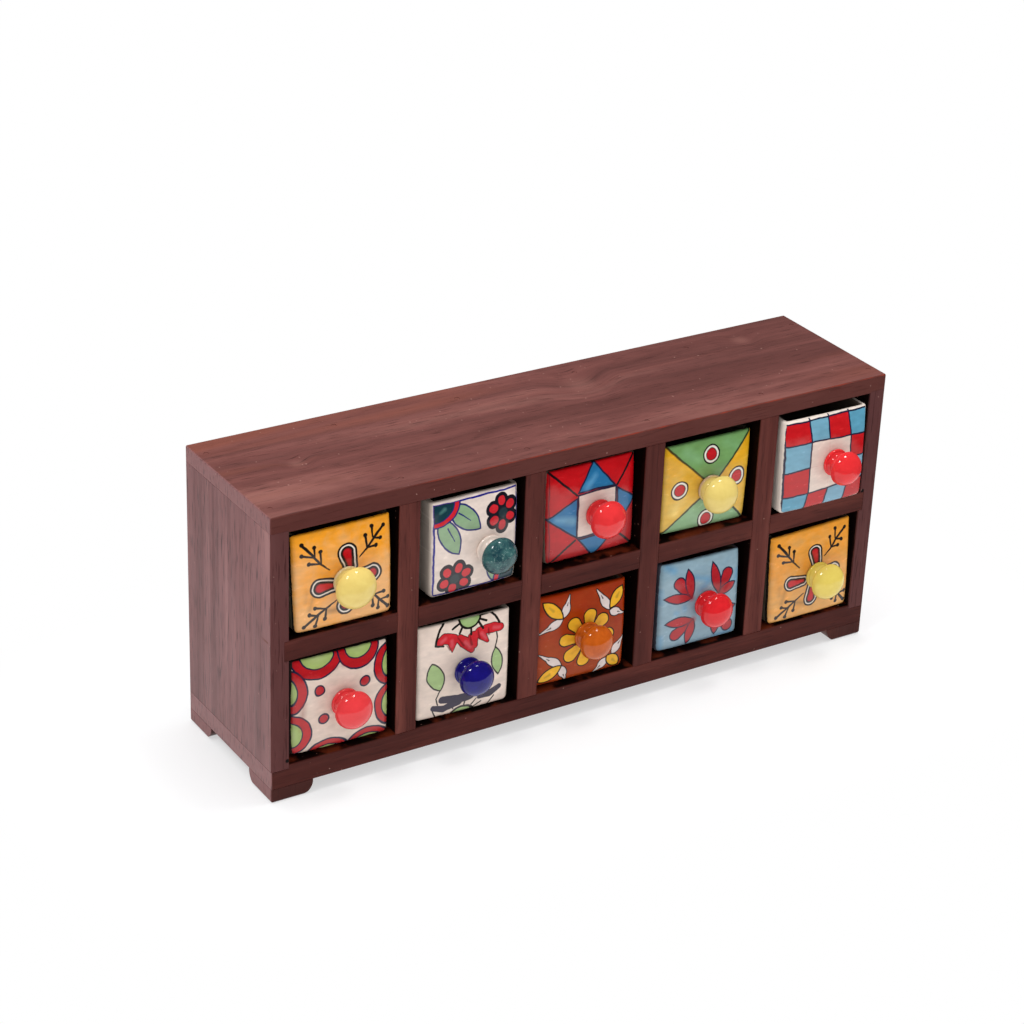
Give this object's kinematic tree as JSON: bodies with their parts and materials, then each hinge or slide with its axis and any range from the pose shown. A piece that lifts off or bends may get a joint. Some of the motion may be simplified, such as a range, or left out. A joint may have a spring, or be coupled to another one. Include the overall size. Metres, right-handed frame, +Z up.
{
  "type": "chest of drawers",
  "caption": "Tabletop chest of stained hardwood with open compartments, each holding a glazed, hand-painted ceramic drawer with a mushroom knob that slides out to the front.",
  "frame": {"origin": "on the table, in the middle of the overall width and of the overall depth with the knobs", "axes": "+X to the right as one faces the front, +Y to the back, +Z up; the drawers open along -Y"},
  "size_m": [0.38, 0.1156, 0.1631],
  "materials": {
    "wood_stained": "satin, dark reddish-brown stain",
    "wood_panel": "dull, dark stain",
    "ceramic_orange": "glossy glaze with painted petals and sprigs",
    "ceramic_cream": "glossy cream glaze with painted figures",
    "ceramic_red": "glossy red glaze with painted triangles",
    "ceramic_yellow": "glossy yellow and green glaze with painted dots",
    "ceramic_checked": "glossy glaze with painted red and blue checks",
    "ceramic_terracotta": "glossy terracotta glaze with a painted daisy",
    "ceramic_blue": "glossy pale blue glaze with painted tulips",
    "knob_pale_yellow": "glossy",
    "knob_teal": "glossy",
    "knob_red": "glossy",
    "knob_coral": "glossy",
    "knob_cobalt": "glossy",
    "knob_caramel": "glossy",
    "steel": "bright on nuts and studs, dull on nail heads"
  },
  "bodies": {
    "carcass": {"top_board": "wood_stained", "base_board": "wood_stained", "left_side": "wood_stained", "right_side": "wood_stained", "shelf": "wood_stained", "divider_1": "wood_stained", "divider_2": "wood_stained", "divider_3": "wood_stained", "divider_4": "wood_stained", "back_panel": "wood_panel", "foot_front_left": "wood_stained", "foot_front_right": "wood_stained", "foot_back_left": "wood_stained", "foot_back_right": "wood_stained", "top_board_nails": "steel", "base_board_nails": "steel", "foot_nails": "steel", "back_panel_pins": "steel"},
    "drawer_1": {"drawer_1_box": "ceramic_orange", "drawer_1_knob": "knob_pale_yellow", "drawer_1_stud": "steel", "drawer_1_nut": "steel"},
    "drawer_2": {"drawer_2_box": "ceramic_cream", "drawer_2_knob": "knob_teal", "drawer_2_stud": "steel", "drawer_2_nut": "steel"},
    "drawer_3": {"drawer_3_box": "ceramic_red", "drawer_3_knob": "knob_red", "drawer_3_stud": "steel", "drawer_3_nut": "steel"},
    "drawer_4": {"drawer_4_box": "ceramic_yellow", "drawer_4_knob": "knob_pale_yellow", "drawer_4_stud": "steel", "drawer_4_nut": "steel"},
    "drawer_5": {"drawer_5_box": "ceramic_checked", "drawer_5_knob": "knob_red", "drawer_5_stud": "steel", "drawer_5_nut": "steel"},
    "drawer_6": {"drawer_6_box": "ceramic_cream", "drawer_6_knob": "knob_coral", "drawer_6_stud": "steel", "drawer_6_nut": "steel"},
    "drawer_7": {"drawer_7_box": "ceramic_cream", "drawer_7_knob": "knob_cobalt", "drawer_7_stud": "steel", "drawer_7_nut": "steel"},
    "drawer_8": {"drawer_8_box": "ceramic_terracotta", "drawer_8_knob": "knob_caramel", "drawer_8_stud": "steel", "drawer_8_nut": "steel"},
    "drawer_9": {"drawer_9_box": "ceramic_blue", "drawer_9_knob": "knob_red", "drawer_9_stud": "steel", "drawer_9_nut": "steel"},
    "drawer_10": {"drawer_10_box": "ceramic_orange", "drawer_10_knob": "knob_pale_yellow", "drawer_10_stud": "steel", "drawer_10_nut": "steel"}
  },
  "joints": [
    {"name": "drawer_1_slide", "type": "slide", "parent": "carcass", "child": "drawer_1", "axis": [0, -1, 0], "range_m": [-0.0048, 0.0702]},
    {"name": "drawer_2_slide", "type": "slide", "parent": "carcass", "child": "drawer_2", "axis": [0, -1, 0], "range_m": [-0.0035, 0.0715]},
    {"name": "drawer_3_slide", "type": "slide", "parent": "carcass", "child": "drawer_3", "axis": [0, -1, 0], "range_m": [-0.0005, 0.0745]},
    {"name": "drawer_4_slide", "type": "slide", "parent": "carcass", "child": "drawer_4", "axis": [0, -1, 0], "range_m": [-0.002, 0.073]},
    {"name": "drawer_5_slide", "type": "slide", "parent": "carcass", "child": "drawer_5", "axis": [0, -1, 0], "range_m": [-0.01, 0.065]},
    {"name": "drawer_6_slide", "type": "slide", "parent": "carcass", "child": "drawer_6", "axis": [0, -1, 0], "range_m": [-0.003, 0.072]},
    {"name": "drawer_7_slide", "type": "slide", "parent": "carcass", "child": "drawer_7", "axis": [0, -1, 0], "range_m": [-0.0045, 0.0705]},
    {"name": "drawer_8_slide", "type": "slide", "parent": "carcass", "child": "drawer_8", "axis": [0, -1, 0], "range_m": [-0.0032, 0.0718]},
    {"name": "drawer_9_slide", "type": "slide", "parent": "carcass", "child": "drawer_9", "axis": [0, -1, 0], "range_m": [-0.0026, 0.0724]},
    {"name": "drawer_10_slide", "type": "slide", "parent": "carcass", "child": "drawer_10", "axis": [0, -1, 0], "range_m": [-0.0055, 0.0695]}
  ]
}
